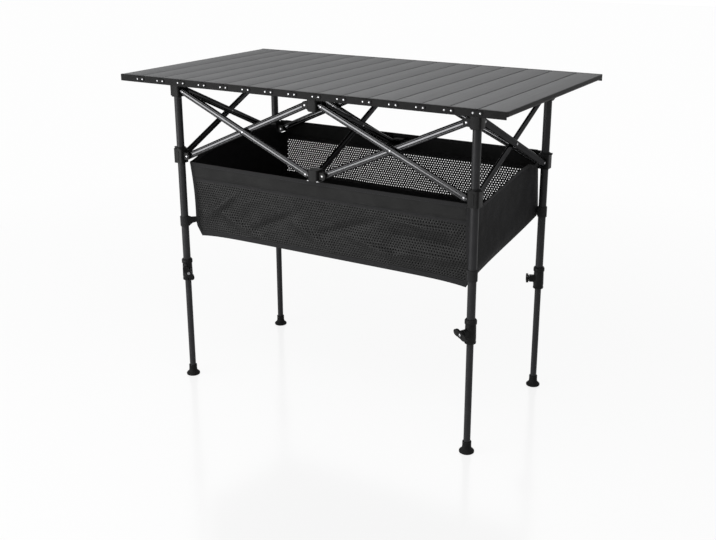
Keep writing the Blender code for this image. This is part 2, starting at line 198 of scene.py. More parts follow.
class Nodes:
    """A node tree, built from textures and plain operations."""

    def __init__(self, tree):
        self.tree = tree

    def add(self, kind, **values):
        node = self.tree.nodes.new(kind)
        for key, value in values.items():
            if key in node.inputs:
                node.inputs[key].default_value = value
            else:
                setattr(node, key, value)
        return node

    def link(self, source, target):
        self.tree.links.new(source, target)

    def feed(self, socket, value):
        """Links another socket, or sets a plain value."""
        if hasattr(value, "links"):
            self.link(value, socket)
        else:
            socket.default_value = value

    def place(self, scale=(1, 1, 1), turn=(0, 0, 0), uv=False):
        """Texture coordinates of the piece's own mesh in metres, or its cloth coordinates."""
        source = self.add("ShaderNodeTexCoord")
        mapping = self.add("ShaderNodeMapping", Scale=scale, Rotation=turn)
        self.link(source.outputs["UV" if uv else "Object"], mapping.inputs["Vector"])
        return mapping.outputs["Vector"]

    def noise(self, scale, detail, where=None, roughness=0.55):
        node = self.add("ShaderNodeTexNoise", Scale=scale, Detail=detail, Roughness=roughness)
        self.link(where or self.place(), node.inputs["Vector"])
        return node.outputs["Fac"]

    def wave(self, pitch, where, axis):
        """Even sine bands a pitch apart, in metres."""
        node = self.add("ShaderNodeTexWave", Scale=tau / (20 * pitch), Distortion=0.0)
        node.bands_direction = axis
        self.link(where, node.inputs["Vector"])
        return node.outputs["Fac"]

    def ramp(self, source, stops):
        """Maps a value to colours (or greys) at the given stops."""
        node = self.add("ShaderNodeValToRGB")
        while len(node.color_ramp.elements) < len(stops):
            node.color_ramp.elements.new(0.5)
        for element, (position, colour) in zip(node.color_ramp.elements, stops):
            element.position = position
            element.color = (*(colour if isinstance(colour, tuple) else grey(colour)), 1)
        self.link(source, node.inputs["Fac"])
        return node.outputs["Color"]

    def mix(self, kind, a, b, amount=1.0):
        node = self.add("ShaderNodeMix", data_type="RGBA", blend_type=kind)
        for socket, value in ((6, a), (7, b), (0, amount)):
            self.feed(node.inputs[socket], (*value, 1) if isinstance(value, tuple) else value)
        return node.outputs[2]

    def math(self, kind, a, b):
        node = self.add("ShaderNodeMath", operation=kind)
        self.feed(node.inputs[0], a)
        self.feed(node.inputs[1], b)
        return node.outputs[0]

    def in_view(self):
        """1 on rays of the camera, gloss or glass, and 0 on rays that only carry light."""
        path = self.add("ShaderNodeLightPath")
        seen = self.math("MAXIMUM", path.outputs["Is Camera Ray"], path.outputs["Is Glossy Ray"])
        return self.math("MAXIMUM", seen, path.outputs["Is Transmission Ray"])


class Look(Nodes):
    """A Principled material whose colour, roughness and bump come from node textures."""

    def __init__(self, name, roughness=0.5, metallic=0.0, **constants):
        self.material = bpy.data.materials.new(name)
        self.material.use_nodes = True
        super().__init__(self.material.node_tree)
        self.shader = self.tree.nodes["Principled BSDF"]
        self.shader.inputs["Roughness"].default_value = roughness
        self.shader.inputs["Metallic"].default_value = metallic
        for key, value in constants.items():
            self.shader.inputs[key.replace("_", " ")].default_value = value
        self.bump = None

    def raise_by(self, height, distance, strength):
        """Adds one more bump on top of those before it."""
        node = self.add("ShaderNodeBump", Distance=distance, Strength=strength)
        self.link(height, node.inputs["Height"])
        if self.bump:
            self.link(self.bump, node.inputs["Normal"])
        self.bump = node.outputs["Normal"]

    def finish(self, colour, roughness):
        self.link(colour, self.shader.inputs["Base Color"])
        self.link(roughness, self.shader.inputs["Roughness"])
        self.link(self.bump, self.shader.inputs["Normal"])
        return self.material


def slat_coat():
    n = Look("slat_coat", Specular_IOR_Level=0.12)
    streaks = n.noise(1.0, 3.0, n.place(scale=(900, 9, 900)))
    grain = n.noise(2600, 2.0)
    cloud = n.noise(9, 3.0)
    shade = n.mix("MIX", streaks, cloud, 0.3)
    colour = n.ramp(shade, [(0.30, (0.088, 0.089, 0.091)), (0.70, (0.130, 0.131, 0.133))])
    rough = n.ramp(n.mix("MIX", cloud, grain, 0.5), [(0.3, 0.54), (0.7, 0.68)])
    n.raise_by(grain, 0.06 * MM, 0.35)
    n.raise_by(streaks, 0.05 * MM, 0.30)
    return n.finish(colour, rough)


def moulded(name, dark, light, low, high, grain_scale=1500, grain_depth=0.10, specular=0.07):
    """Moulded plastic or rubber with a fine grain and faint scuffs."""
    n = Look(name, Specular_IOR_Level=specular)
    cloud = n.noise(60, 5.0)
    grain = n.noise(grain_scale, 2.0)
    scuff = n.ramp(n.noise(220, 8.0, roughness=0.7), [(0.55, 0.0), (0.75, 0.8)])
    colour = n.mix("MIX", n.ramp(cloud, [(0.3, dark), (0.7, light)]), tuple(1.9 * c for c in light),
                   n.math("MULTIPLY", scuff, 0.35))
    rough = n.ramp(n.mix("MIX", cloud, grain, 0.5), [(0.3, low), (0.7, high)])
    n.raise_by(grain, grain_depth * MM, 0.4)
    return n.finish(colour, rough)


def lacquered(name, dark, light, low, high, along, specular, metallic=0.0, edge=1.0):
    """Lacquered metal tube or bar with faint drawing lines along one direction."""
    n = Look(name, metallic=metallic, Specular_IOR_Level=specular, Specular_Tint=(edge, edge, edge, 1))
    lines = n.noise(1.0, 3.0, n.place(scale=along))
    cloud = n.noise(35, 4.0)
    nicks = n.ramp(n.noise(700, 4.0, roughness=0.75), [(0.70, 0.0), (0.76, 1.0)])
    colour = n.ramp(n.mix("MIX", lines, cloud, 0.5), [(0.3, dark), (0.7, light)])
    colour = n.mix("MIX", colour, tuple(2.4 * c for c in light), n.math("MULTIPLY", nicks, 0.22))
    rough = n.ramp(n.mix("MIX", cloud, lines, 0.5), [(0.3, low), (0.7, high)])
    n.raise_by(lines, 0.04 * MM, 0.25)
    return n.finish(colour, rough)


def zinc():
    n = Look("rivet_zinc", metallic=1.0)
    cloud = n.noise(900, 4.0)
    colour = n.ramp(cloud, [(0.3, grey(0.16, 0.165)), (0.7, grey(0.36, 0.365))])
    rough = n.ramp(cloud, [(0.3, 0.20), (0.7, 0.42)])
    n.raise_by(cloud, 0.05 * MM, 0.3)
    return n.finish(colour, rough)


def woven(name, dark, light, pitch, crease=0.5, specular=0.12, smooth=0.0):
    """Plain woven polyester, with its weave, crease shading and a little sheen."""
    n = Look(name, **SHEEN, Specular_IOR_Level=specular)
    where = n.place(uv=True)
    weave = n.mix("MULTIPLY", n.wave(pitch, where, "X"), n.wave(pitch, where, "Y"))
    # On the net its dark and light colours lie far apart, so this cloud paints patches of shade and light in
    # the colour, standing in for the shading of folds; on the cloth and the band it is random tone
    cloud = n.noise(22, 5.0)
    fuzz = n.noise(900, 3.0)
    shade = n.mix("MIX", cloud, fuzz, 0.35)
    colour = n.ramp(shade, [(0.32, dark), (0.68, light)])
    colour = n.mix("MULTIPLY", colour, n.ramp(weave, [(0.0, 0.72), (0.6, 1.0)]))
    rough = n.ramp(fuzz, [(0.3, 0.68 - smooth), (0.7, 0.90 - smooth)])
    n.raise_by(n.noise(26, 3.0, roughness=0.4), 6 * MM, crease)
    n.raise_by(weave, 0.12 * MM, 0.5)
    return n.finish(colour, rough)


def webbing():
    """Ribbed tape for the bindings and leg loops."""
    n = Look("binding_tape", **SHEEN, Specular_IOR_Level=0.12)
    ribs = n.wave(1.1 * MM, n.place(turn=(0.6, 0.5, 0.7)), "X")
    fuzz = n.noise(700, 3.0)
    colour = n.ramp(n.mix("MIX", ribs, fuzz, 0.6), [(0.2, grey(0.006)), (0.8, grey(0.020, 0.021))])
    rough = n.ramp(fuzz, [(0.3, 0.72), (0.7, 0.92)])
    n.raise_by(ribs, 0.15 * MM, 0.5)
    return n.finish(colour, rough)


def thread():
    n = Look("stitch_thread", Specular_IOR_Level=0.15)
    twist = n.wave(0.7 * MM, n.place(turn=(0.3, 0.8, 0.2)), "X")
    colour = n.ramp(twist, [(0.2, grey(0.020, 0.021)), (0.8, grey(0.060, 0.062))])
    n.raise_by(twist, 0.1 * MM, 0.5)
    return n.finish(colour, n.ramp(twist, [(0.2, 0.55), (0.8, 0.75)]))


COAT = slat_coat()
CAP = moulded("cap_plastic", grey(0.005), grey(0.010), 0.36, 0.50, specular=0.04)
PLASTIC = moulded("hub_plastic", grey(0.005), grey(0.010), 0.34, 0.50)
RUBBER = moulded("foot_rubber", grey(0.005), grey(0.009), 0.55, 0.75, 900, 0.2)
LINK = lacquered("link_steel", grey(0.005), grey(0.010), 0.34, 0.48, (600, 600, 600), 0.04)
TUBE = lacquered("tube_lacquer", grey(0.014, 0.015), grey(0.022, 0.023), 0.34, 0.46, (1400, 1400, 10), 0.10)
BAR = lacquered("bar_lacquer", grey(0.028, 0.029), grey(0.040, 0.041), 0.11, 0.17, (260, 260, 260), 0.5,
                metallic=1.0, edge=0.45)
ZINC = zinc()
CLOTH = woven("basket_cloth", grey(0.005), grey(0.009, 0.010), 1.2 * MM, specular=0.08)
BAND = woven("band_cloth", grey(0.010), grey(0.019), 1.2 * MM, 0.35)
# The net's dark and light colours lie far apart, so the cloud in its colour paints patches of shade and light
# like those of folds
NET = woven("basket_net", grey(0.002), grey(0.012), 0.8 * MM, 0.8, 0.15, 0.36)
TAPE = webbing()
THREAD = thread()


# Mesh building


def add_prism(bm, outline, low, high, matrix=None):
    """A closed outline in X and Y raised from low to high along Z, then moved by a matrix."""
    bottom = [bm.verts.new((x, y, low)) for x, y in outline]
    top = [bm.verts.new((x, y, high)) for x, y in outline]
    bm.faces.new(bottom)
    bm.faces.new(top)
    for a, b in zip(range(len(outline)), [*range(1, len(outline)), 0]):
        bm.faces.new((bottom[a], bottom[b], top[b], top[a]))
    if matrix is not None:
        bmesh.ops.transform(bm, matrix=matrix, verts=bottom + top)


def add_turned(bm, profile, sides, matrix):
    """A profile of (radius, height) spun round Z, then moved. Ends with radius 0 close on the axis."""
    rings = []
    for radius, height in profile:
        if radius < 1e-7:
            rings.append([bm.verts.new((0, 0, height))])
            continue
        angles = [tau * k / sides for k in range(sides)]
        rings.append([bm.verts.new((radius * cos(a), radius * sin(a), height)) for a in angles])
    for low, high in zip(rings, rings[1:]):
        for k in range(sides):
            j = (k + 1) % sides
            corners = [low[k % len(low)], low[j % len(low)], high[j % len(high)], high[k % len(high)]]
            bm.faces.new(list(dict.fromkeys(corners)))
    bmesh.ops.transform(bm, matrix=matrix, verts=[v for ring in rings for v in ring])


def loft(bm, rings):
    """Faces between rings of equal length, closed at both ends."""
    count = len(rings[0])
    for low, high in zip(rings, rings[1:]):
        for k in range(count):
            j = (k + 1) % count
            bm.faces.new((low[k], low[j], high[j], high[k]))
    bm.faces.new(rings[0])
    bm.faces.new(rings[-1])


def over(base, *points):
    """Profile points (radius, height) in millimetres, over a height in metres."""
    return [(radius * MM, base + height * MM) for radius, height in points]


def rounded_rectangle(half_x, half_y, radius, steps):
    points = []
    for quarter, (sign_x, sign_y) in enumerate(((1, 1), (-1, 1), (-1, -1), (1, -1))):
        for step in range(steps + 1):
            angle = pi / 2 * (quarter + step / steps)
            points.append((sign_x * (half_x - radius) + radius * cos(angle),
                           sign_y * (half_y - radius) + radius * sin(angle)))
    return points


def mesh_from(bm, name, sharp=SHARP_ANGLE):
    bmesh.ops.recalc_face_normals(bm, faces=bm.faces)
    mesh = bpy.data.meshes.new(name)
    bm.to_mesh(mesh)
    bm.free()
    mesh.shade_smooth()
    mesh.set_sharp_from_angle(angle=radians(sharp))
    return mesh


def placed(name, data):
    """A new object in the scene."""
    made = bpy.data.objects.new(name, data)
    bpy.context.scene.collection.objects.link(made)
    return made


def show(name, shape, material, body, bevel=None, sharp=SHARP_ANGLE, node=None):
    """One visible piece from a mesh or a bmesh, riding on its body and taking a node's place."""
    mesh = shape if isinstance(shape, bpy.types.Mesh) else mesh_from(shape, name, sharp)
    made = placed(name, mesh)
    mesh.materials.clear()
    mesh.materials.append(material)
    if bevel:
        rounding = made.modifiers.new("rounding", "BEVEL")
        rounding.width = bevel
        rounding.segments = 2
        rounding.limit_method = "ANGLE"
        rounding.angle_limit = radians(SHARP_ANGLE)
        rounding.harden_normals = False
    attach(made, body)
    if node:
        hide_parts(node)
    return made


def united(parts, cuts):
    """One mesh from closed bmeshes: the parts joined, then the cuts taken out."""
    objects = [placed("part", mesh_from(bm, "part")) for bm in (*parts, *cuts)]
    host = objects[0]
    for index, tool in enumerate(objects[1:], 1):
        modifier = host.modifiers.new("join", "BOOLEAN")
        modifier.operation = "UNION" if index < len(parts) else "DIFFERENCE"
        modifier.object = tool
    mesh = bpy.data.meshes.new_from_object(host.evaluated_get(bpy.context.evaluated_depsgraph_get()))
    for made in objects:
        bpy.data.objects.remove(made)
    mesh.shade_smooth()
    mesh.set_sharp_from_angle(angle=radians(SHARP_ANGLE))
    return mesh


def turned_part(profile, sides, matrix):
    bm = bmesh.new()
    add_turned(bm, profile, sides, matrix)
    return bm


def prism_part(outline, low, high, matrix):
    bm = bmesh.new()
    add_prism(bm, outline, low, high, matrix)
    return bm


def axes(x, y, z, place=(0, 0, 0)):
    """The matrix whose columns are three axes and a place."""
    turn = Matrix((x, y, z)).transposed().to_4x4()
    return Matrix.Translation(place) @ turn


def facing(direction, place):
    """A matrix that turns Z to a direction, at a place."""
    return Matrix.Translation(place) @ Vector(direction).to_track_quat("Z", "Y").to_matrix().to_4x4()


def dome(radius, height, sink):
    """The profile of a rivet head standing on Z = 0."""
    return [(0, -sink), (radius, -sink), (radius, 0.30 * height), (radius * 0.95, 0.56 * height),
            (radius * 0.74, 0.84 * height), (radius * 0.42, 0.97 * height), (0, height)]


# Table top


def slat_profile():
    """The aluminium section of a slat: grooved edges, lips below and two stiffening ribs."""
    gap, groove, shelf, wall = 0.35 * MM, 1.25 * MM, 3.4 * MM, 1.3 * MM
    depth, lip, rib = 10.3 * MM, 7 * MM, 4.6 * MM
    top = -0.2 * MM
    inside = gap + groove
    left = [(gap, -depth), (gap, -shelf), (inside, -shelf), (inside, top - 0.9 * MM),
            (inside + 0.25 * MM, top - 0.3 * MM), (inside + 0.9 * MM, top)]
    under = [(gap + wall + groove, -wall), (gap + wall + groove, -shelf - wall), (gap + wall, -shelf - wall),
             (gap + wall, wall - depth), (gap + lip, wall - depth), (gap + lip, -depth)]
    ribs = []
    for share in (0.34, 0.66):
        middle = SLAT_PITCH * share
        ribs += [(middle - wall / 2, -wall), (middle - wall / 2, -rib),
                 (middle + wall / 2, -rib), (middle + wall / 2, -wall)]
    mirrored = [(SLAT_PITCH - x, z) for x, z in reversed(left)]
    under_right = [(SLAT_PITCH - x, z) for x, z in reversed(under)]
    return left + mirrored + under_right + list(reversed(ribs)) + under


def make_slats():
    profile = slat_profile()
    inner = CAP_INNER_Y + 0.5 * MM
    link = rounded_rectangle(*LINK_OUTLINE, 6)
    for index in range(SLAT_COUNT):
        body = f"slat_{index + 1:02d}"
        left = SLAT_LEFT + index * SLAT_PITCH
        bm = bmesh.new()
        add_prism(bm, profile, -inner, inner, axes(X, Z, Y, (left, 0, TOP_Z)))
        show(f"{body}_panel", bm, COAT, body, sharp=50, node=body)

        bm = bmesh.new()
        for side in (-1, 1):
            inside, face, back = side * CAP_INNER_Y, side * CAP_FACE_Y, side * (CAP_FACE_Y - CAP_WALL)
            flange = [(inside, 0), (face, 0), (face, -CAP_DEPTH), (back, -CAP_DEPTH), (back, -CAP_SHELF),
                      (inside, -CAP_SHELF)]
            add_prism(bm, flange, CAP_GAP, SLAT_PITCH - CAP_GAP, axes(Y, Z, X, (left, 0, TOP_Z)))
        show(f"{body}_end_caps", bm, CAP, body, 0.5 * MM)
        if index + 1 == SLAT_COUNT:
            continue

        joint = left + SLAT_PITCH
        plates, rivets = bmesh.new(), bmesh.new()
        for side in (-1, 1):
            outward = (0, side, 0)
            add_prism(plates, link, 0.2 * MM, LINK_THICK,
                      axes((side, 0, 0), (0, 0, -1), outward, (joint, side * CAP_FACE_Y, LINK_Z)))
            for step in (-1, 1):
                place = (joint + step * LINK_RIVET_X, side * (CAP_FACE_Y + LINK_THICK), LINK_Z)
                add_turned(rivets, dome(*LINK_DOME), 20, facing(outward, place))
        show(f"{body}_link_plates", plates, LINK, body, 0.3 * MM)
        show(f"{body}_link_rivets", rivets, ZINC, body)


def make_edge_rails():
    """The black rails, each with a groove, along the outer edges of the first and the last slat."""
    face, groove, round_over = -RAIL_PROUD, -RAIL_PROUD + 0.45 * MM, 0.3 * MM
    outline = [(RAIL_INNER, -0.9 * MM), (face + round_over, -0.9 * MM), (face, -1.2 * MM), (face, -4.5 * MM),
               (groove, -4.8 * MM), (groove, -5.6 * MM), (face, -5.9 * MM), (face, round_over - RAIL_LOW),
               (face + round_over, -RAIL_LOW), (round_over, -RAIL_LOW), (round_over, -3.35 * MM),
               (RAIL_INNER, -3.35 * MM)]
    for index, sign in ((1, 1), (SLAT_COUNT, -1)):
        body = f"slat_{index:02d}"
        bm = bmesh.new()
        turn = axes((sign, 0, 0), Z, Y, (sign * SLAT_LEFT, 0, TOP_Z))
        add_prism(bm, outline, -CAP_INNER_Y, CAP_INNER_Y, turn)
        show(f"{body}_edge_rail", bm, CAP, body, sharp=50)


# Scissor frame


def scissor_frame(name):
    places = {hub: Vector((plan[0], plan[1], 0)) for hub, plan in (*CORNERS.items(), *CENTRES.items())}
    near, far = (places[hub] for hub in SCISSORS[name])
    direction = (far - near).normalized()
    return near, far, direction, UP.cross(direction)


def bar_section():
    """Points (thickness, height) round an oval bar, whose faces have a flat middle between two flutes."""
    half_thick = (BAR_OUTER - BAR_INNER) / 2
    heights = [BAR_RADIUS * cos(radians(a)) for a in (6, 14, 22, 30, 38, 46, 53)]
    heights += [FLUTE_AT + FLUTE_HALF * k / 2 for k in range(3, -4, -1)]
    face = []
    for height in (*heights, LAND_HALF / 2, -LAND_HALF / 2, *(-h for h in reversed(heights))):
        round_share = max(0.0, abs(height) - LAND_HALF) / (BAR_RADIUS - LAND_HALF)
        thick = half_thick * sqrt(1 - round_share ** 2.2)
        thick -= FLUTE_DEPTH * exp(-((abs(height) - FLUTE_AT) / FLUTE_HALF) ** 2)
        face.append((max(thick, 0.3 * MM), height))
    return face + [(-y, z) for y, z in reversed(face)]


def bar_part(length, matrix, side):
    """A fluted bar from pivot to pivot with round ends, on one side of the scissor's mid plane."""
    section = bar_section()
    middle_y = side * (BAR_INNER + BAR_OUTER) / 2
    ends = [radians(a) for a in (80, 64, 48, 32, 16)]
    stations = [(-BAR_RADIUS * sin(a), cos(a)) for a in ends] + [(0, 1), (length, 1)]
    stations += [(length + BAR_RADIUS * sin(a), cos(a)) for a in reversed(ends)]
    bm = bmesh.new()
    loft(bm, [[bm.verts.new(matrix @ Vector((x, middle_y + y, z * tall))) for y, z in section]
              for x, tall in stations])
    return bm


def make_bars():
    for name in SCISSORS:
        near, far, along, side = scissor_frame(name)
        reach = along * PIVOT_REACH
        lifted = {"top": UP * TOP_PIVOT_Z, "low": UP * LOW_PIVOT_Z}
        ends = {"down": (near + reach + lifted["top"], far - reach + lifted["low"]),
                "up": (near + reach + lifted["low"], far - reach + lifted["top"])}
        for kind, (start, end) in ends.items():
            x = (end - start).normalized()
            body = f"{name}_{kind}_bar"
            turn = axes(x, side, x.cross(side), start)
            bar = bar_part((end - start).length, turn, -1 if kind == "down" else 1)
            show(f"{body}_fluted", bar, BAR, body, sharp=25, node=body)
        middle = (ends["down"][0] + ends["down"][1]) / 2
        bm = bmesh.new()
        for way in (-1, 1):
            add_turned(bm, dome(3.0 * MM, 1.2 * MM, 0.9 * MM), 24,
                       facing(side * way, middle + side * way * BAR_OUTER))
        show(f"{name}_middle_rivet", bm, ZINC, f"{name}_down_bar")


def ears_of(hub, level):
    ears = []
    for name, (near, far) in SCISSORS.items():
        if hub not in (near, far):
            continue
        _, _, direction, side = scissor_frame(name)
        towards = direction if hub == near else -direction
        on_down_bar = (hub == near) == (level == "top")
        ears.append((towards, -side if on_down_bar else side))
    return ears


def ear_part(towards, bar_side, centre, inside):
    """An ear with a round end, on the far side of its bar."""
    outline = [(inside, -EAR_RADIUS), (PIVOT_REACH, -EAR_RADIUS)]
    outline += [(PIVOT_REACH + EAR_RADIUS * sin(a), -EAR_RADIUS * cos(a))
                for a in (pi * k / 12 for k in range(1, 12))]
    outline += [(PIVOT_REACH, EAR_RADIUS), (inside, EAR_RADIUS)]
    turn = axes(towards, UP, towards.cross(UP), centre)
    span = sorted((0.0, -EAR_THICK * bar_side.dot(towards.cross(UP))))
    return prism_part(outline, span[0], span[1], turn)


def make_hub(hub, level, node, body):
    x, y = {**CORNERS, **CENTRES}[hub][:2]
    on_top, at_corner = level == "top", hub in CORNERS
    pivot_z = TOP_PIVOT_Z if on_top else LOW_PIVOT_Z
    half_tall = SLIDER_HALF if at_corner else CENTRE_HALF
    low, high = (HUB_TOP_LOW, HUB_TOP_Z) if on_top else (pivot_z - half_tall, pivot_z + half_tall)
    at = Vector((x, y, 0))
    centre = Vector((x, y, pivot_z))
    shift = Matrix.Translation(at)

    def block(half_x, half_y, corner, steps, base, top):
        return prism_part(rounded_rectangle(half_x, half_y, corner, steps), base, top, shift)

    parts = [block(HUB_HALF, HUB_HALF, 4 * MM, 5, low, high)]
    if on_top:
        parts.append(block(14.2 * MM, 14.2 * MM, 5 * MM, 5, high - 4.5 * MM, high))
        parts.append(block(11 * MM, 11 * MM, 4 * MM, 5, low - 2.5 * MM, low + 1 * MM))
    rivets = bmesh.new()
    for towards, bar_side in ears_of(hub, level):
        parts.append(ear_part(towards, bar_side, centre, 6 * MM))
        pivot = centre + towards * PIVOT_REACH
        add_turned(rivets, dome(HUB_RIVET, 1.2 * MM, 0.9 * MM), 24,
                   facing(bar_side, pivot + bar_side * BAR_OUTER))
        add_turned(rivets, dome(HUB_RIVET, 1.0 * MM, 0.5 * MM), 24,
                   facing(-bar_side, pivot - bar_side * EAR_THICK))
    if not on_top and not at_corner:
        parts.append(block(16.5 * MM, 11.5 * MM, 3 * MM, 4, low + 1 * MM, low + 4 * MM))
        plate = block(17 * MM, 12 * MM, 3 * MM, 4, low, low + 1.4 * MM)
        show(f"{node}_base_plate", plate, ZINC, body, 0.3 * MM)
    cuts = []
    if at_corner:
        bore_top = high - 5 * MM if on_top else high + 0.02
        bore = UPPER_RADIUS + 0.25 * MM
        hole = [(0, low - 0.02), (bore, low - 0.02), (bore, bore_top), (0, bore_top)]
        cuts.append(turned_part(hole, 40, shift))
    if at_corner and not on_top:
        neck = HUB_HALF - 0.4 * MM
        parts.append(turned_part([(0, high - 1 * MM), (neck, high - 1 * MM), (neck, high + 2.2 * MM),
                                  (HUB_HALF - 1.2 * MM, high + 3.2 * MM), (0, high + 3.2 * MM)], 40, shift))
        outward = Vector((copysign(1, x), 0, 0))
        nub = rounded_rectangle(3.5 * MM, 2 * MM, 1.2 * MM, 3)
        parts.append(prism_part(nub, HUB_HALF - 3 * MM, HUB_HALF + 4 * MM,
                                axes(outward.cross(UP), UP, outward, at + UP * (high + 1 * MM))))
        wall = Vector((0, copysign(1, y), 0))
        rib = [*over(low, (-3, 5), (3, 5)), *over(high, (3, -5), (-3, -5))]
        parts.append(prism_part(rib, HUB_HALF - 1 * MM, HUB_HALF + 0.8 * MM,
                                axes(wall.cross(UP), UP, wall, at)))
    show(f"{node}_moulding", united(parts, cuts), PLASTIC, body, 0.5 * MM, node=node)
    show(f"{node}_rivets", rivets, ZINC, body)


def make_hubs():
    for corner in CORNERS:
        make_hub(corner, "top", f"{corner}_top_hub", f"{corner}_leg")
        make_hub(corner, "low", f"{corner}_slider", f"{corner}_slider")
    for centre in CENTRES:
        make_hub(centre, "top", f"{centre}_top_hub", f"{centre}_top")
        make_hub(centre, "low", f"{centre}_lower_hub", f"{centre}_lower")


# Legs


FOOT_PROFILE = over(0, (0, 0.8), (5, 0.8), (5.6, 0), (8, 0), (8.6, 0.8), (10.4, 0.8), (11, 0), (15.4, 0),
                    (16.3, 0.7), (16.5, 1.8), (16.5, 3.6), (15.9, 4.7), (14.2, 6.2), (12.6, 7.6), (11.3, 9.2),
                    (10.4, 11.2), (10.0, 13.4), (9.8, 16.4), (9.3, 16.8), (9.3, 17.8), (9.8, 18.2),
                    (9.8, 20.4), (9.3, 20.8), (9.3, 21.8), (9.8, 22.2), (9.8, 25.2), (9.2, 26), (7.7, 26),
                    (7.7, 7), (0, 7))


def make_tube(corner, part, body, profile, sides, at):
    """A leg tube, open at both ends, from a profile that ends where it starts."""
    bm = turned_part(profile, sides, at)
    bmesh.ops.remove_doubles(bm, verts=bm.verts, dist=1e-7)
    show(f"{corner}_{part}_tube", bm, TUBE, body, node=f"{corner}_{part}_leg")


def make_leg(corner):
    x, y, heading, tilt = CORNERS[corner]
    at = Matrix.Translation((x, y, 0))
    turn = at @ Matrix.Rotation(heading, 4, "Z")
    leg, lower = f"{corner}_leg", f"{corner}_lower_leg"
    low, high = LOCK_LOW_Z, LOCK_TOP_Z

    bore = UPPER_RADIUS - TUBE_WALL
    make_tube(corner, "upper", leg, [
        (bore, low + 0.02), (bore, low + 0.004), (UPPER_RADIUS, low + 0.004), (UPPER_RADIUS, UPPER_TOP_Z),
        (bore, UPPER_TOP_Z), (bore, low + 0.02)], 48, at)

    shell = turned_part([
        *over(low, (0, 0), (11.2, 0), (12.2, 0.8), (12.4, 4), (11.7, 5), (12.2, 12)),
        *over(high, (11.6, -15), (11.2, -11.5), (12.8, -10.5), (13, -9.5), (13, -3), (12.3, -1.6), (11, 0),
              (0, 0))], 48, turn)
    side_on = axes(Y, Z, X)
    boss = prism_part(rounded_rectangle(7.3 * MM, 7.8 * MM, 3 * MM, 5), 8 * MM, 21.9 * MM,
                      turn @ Matrix.Translation((0, 0, KNOB_Z)) @ side_on)
    slot_box = prism_part(rounded_rectangle(0.9 * MM, 17 * MM, 0.5 * MM, 2), 9.5 * MM, 30 * MM,
                          turn @ Matrix.Translation((0, 0, KNOB_Z - 5 * MM)) @ side_on)
    bore = UPPER_RADIUS + 0.1 * MM
    hole = turned_part([(0, low - 0.01), (bore, low - 0.01), (bore, high + 0.01), (0, high + 0.01)], 48, turn)
    show(f"{corner}_leg_lock", united([shell, boss], [slot_box, hole]), PLASTIC, leg,
         0.4 * MM, node=f"{corner}_upper_leg")

    bore = LOWER_RADIUS - TUBE_WALL
    make_tube(corner, "lower", lower, [
        (bore, LOWER_TOP_Z), (bore, LOWER_LOW_Z), (LOWER_RADIUS, LOWER_LOW_Z), (LOWER_RADIUS, LOWER_TOP_Z),
        (bore, LOWER_TOP_Z)], 44, at)

    foot = turned_part(FOOT_PROFILE, 48, at)
    show(f"{corner}_rubber_foot", foot, RUBBER, lower, sharp=40, node=f"{corner}_foot")

    spin = turn @ Matrix.Translation((0, 0, KNOB_Z)) @ Matrix.Rotation(tilt, 4, "X") @ side_on
    outline = []
    for k in range(64):
        angle = tau * k / 64
        reach = KNOB_WAIST + KNOB_WING * abs(sin(angle)) ** 4
        outline.append((reach * cos(angle), reach * sin(angle)))
    wings = prism_part(outline, KNOB_FACE + 1.9 * MM, KNOB_FACE + 7.2 * MM, spin)
    neck = over(KNOB_FACE, (0, 0), (7.4, 0), (7.8, 0.6), (7.6, 6.2), (6.4, 7.7), (0, 7.7))
    recess = turned_part(over(KNOB_FACE, (0, 6.6), (4.2, 6.6), (4.6, 9), (0, 9)), 28, spin)
    show(f"{corner}_butterfly_knob", united([turned_part(neck, 32, spin), wings], [recess]), PLASTIC,
         f"{corner}_knob", 0.7 * MM, node=f"{corner}_wing_knob")
    bm = turned_part([*over(0, (0, 10), (2.8, 10)), *over(KNOB_FACE, (2.8, 1), (0, 1))], 20, spin)
    add_turned(bm, over(KNOB_FACE, (0, 6.4), (3.6, 6.4), (3.4, 7.2), (2.6, 7.5), (0, 7.5)), 20, spin)
    show(f"{corner}_knob_stud", bm, ZINC, f"{corner}_knob")


# Basket


def soft_ridge(u, v, u0, v0, slope, width, length, height):
    """A soft fold through (u0, v0), with its crest running along a slope."""
    norm = hypot(1, slope)
    along = ((u - u0) + slope * (v - v0)) / norm
    across = (-(u - u0) * slope + (v - v0)) / norm
    return height * exp(-(across / width) ** 2 - (along / length) ** 2)


# Folds of the front wall: u, v, slope, width and length in metres, height in millimetres
FRONT_FOLDS = [(-0.29, 0.10, -0.75, 0.010, 0.06, 7.0), (-0.24, 0.135, 0.45, 0.008, 0.06, 6.4),
               (-0.14, 0.12, -0.5, 0.010, 0.07, -6.0), (-0.03, 0.13, 0.5, 0.009, 0.06, 6.2),
               (0.06, 0.10, -0.35, 0.010, 0.07, -5.2), (0.15, 0.135, 0.25, 0.009, 0.08, 7.0),
               (0.27, 0.066, 0.10, 0.009, 0.09, 7.8), (0.29, 0.098, 0.05, 0.010, 0.10, -7.0),
               (0.28, 0.130, -0.04, 0.009, 0.11, 8.6)]
REAR_FOLDS = [(*fold, abs(height) * 0.8) for *fold, height in FRONT_FOLDS]
# Height of each side panel's top edge over the front corner, at even steps from front to back, and the
# height that it falls to at the rear hub, in millimetres
SIDE_TOPS = {-1: (0, 14, 24, 30, 34, 37, 38, 36, 33), 1: (0, -13, -9, -3, 2, 8, 13, 14, 15)}
SIDE_NOTCH = 7


def eased(low, high, value):
    share = min(1.0, max(0.0, (value - low) / (high - low)))
    return share * share * (3 - 2 * share)


